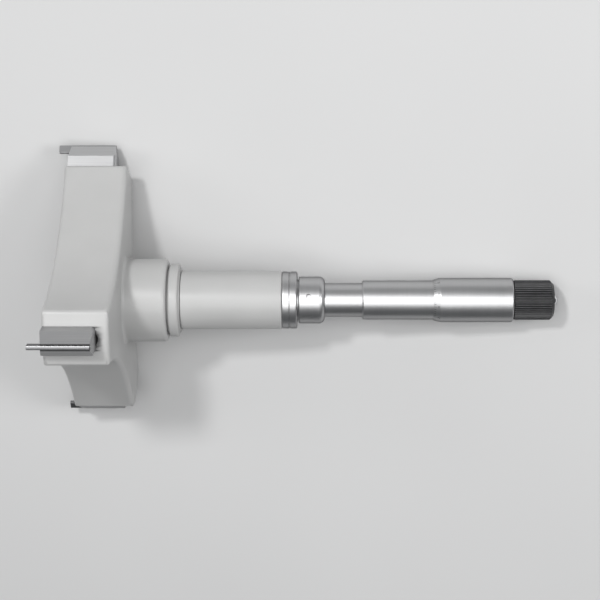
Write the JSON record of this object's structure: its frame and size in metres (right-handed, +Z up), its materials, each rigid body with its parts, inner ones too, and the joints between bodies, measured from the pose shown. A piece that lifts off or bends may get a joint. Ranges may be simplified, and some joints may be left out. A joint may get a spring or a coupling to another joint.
{
  "type": "inside micrometer",
  "caption": "Three-point inside micrometer: three-armed head with sliding anvils that a cone spreads when the thimble turns, tube handle, graduated sleeve and knurled ratchet.",
  "frame": {"origin": "on the surface that the tool lies on, under the centre of its box", "axes": "+X from the head towards the ratchet, +Z up, with one arm of the head upright"},
  "size_m": [0.2584, 0.1438, 0.1316],
  "materials": {
    "grey_paint": "satin light grey enamel on cast and turned metal",
    "satin_steel": "satin chrome with fine turned lines",
    "ground_steel": "ground steel",
    "carbide": "ground and lapped hard metal",
    "tool_steel": "hardened and ground",
    "polished_steel": "polished",
    "spring_steel": "drawn wire",
    "bronze": "turned bronze",
    "dark_steel": "blackened steel",
    "friction_lining": "pressed fibre",
    "black_knurl": "black anodised, straight knurl"
  },
  "bodies": {
    "frame": {"head_body": "grey_paint", "hub": "grey_paint", "front_cover": "satin_steel", "cover_screws": "dark_steel", "rod_bushes": "bronze", "return_spring_1": "spring_steel", "return_spring_2": "spring_steel", "return_spring_3": "spring_steel", "guide_bush": "bronze", "guide_pin": "dark_steel", "coupling_ring": "grey_paint", "handle_tube": "grey_paint", "feed_spring": "spring_steel", "end_ring": "satin_steel", "clamp_nut": "satin_steel", "barrel": "satin_steel", "graduated_sleeve": "satin_steel", "adjusting_nut": "dark_steel"},
    "carriage": {"expanding_cone": "tool_steel", "push_rod": "tool_steel", "thrust_ball": "polished_steel"},
    "thimble_unit": {"spindle": "tool_steel", "thimble": "satin_steel", "clutch_nut": "dark_steel", "ratchet_screw": "polished_steel", "ratchet_spring": "spring_steel"},
    "ratchet_unit": {"ratchet_knob": "black_knurl", "clutch_disc": "friction_lining"},
    "anvil_1": {"measuring_rod_1": "tool_steel", "anvil_holder_1": "ground_steel", "carbide_tip_1": "carbide"},
    "anvil_2": {"measuring_rod_2": "tool_steel", "anvil_holder_2": "ground_steel", "carbide_tip_2": "carbide"},
    "anvil_3": {"measuring_rod_3": "tool_steel", "anvil_holder_3": "ground_steel", "carbide_tip_3": "carbide"}
  },
  "joints": [
    {"name": "spindle_feed", "type": "slide", "parent": "frame", "child": "carriage", "axis": [-0.987, 0, 0.1608], "range_m": [-0.015, 0.01], "deforming": ["feed_spring"]},
    {"name": "thimble_turn", "type": "hinge", "parent": "carriage", "child": "thimble_unit", "pos_m": [0.06729, 0, 0.01928], "axis": [-0.987, 0, 0.1608], "range_deg": [-10800, 7200]},
    {"name": "ratchet_slip", "type": "hinge", "parent": "thimble_unit", "child": "ratchet_unit", "pos_m": [0.10707, 0, 0.0128], "axis": [-0.987, 0, 0.1608], "continuous": true},
    {"name": "anvil_1_slide", "type": "slide", "parent": "frame", "child": "anvil_1", "axis": [0.1608, 0, 0.987], "range_m": [-0.0075, 0.005], "deforming": ["return_spring_1"]},
    {"name": "anvil_2_slide", "type": "slide", "parent": "frame", "child": "anvil_2", "axis": [-0.0804, -0.866, -0.4935], "range_m": [-0.0075, 0.005], "deforming": ["return_spring_2"]},
    {"name": "anvil_3_slide", "type": "slide", "parent": "frame", "child": "anvil_3", "axis": [-0.0804, 0.866, -0.4935], "range_m": [-0.0075, 0.005], "deforming": ["return_spring_3"]}
  ],
  "couplings": [
    {"joint": "thimble_turn", "follows": "spindle_feed", "rad_per_m": 12566},
    {"joint": "anvil_1_slide", "follows": "spindle_feed", "ratio": 0.5},
    {"joint": "anvil_2_slide", "follows": "spindle_feed", "ratio": 0.5},
    {"joint": "anvil_3_slide", "follows": "spindle_feed", "ratio": 0.5}
  ]
}
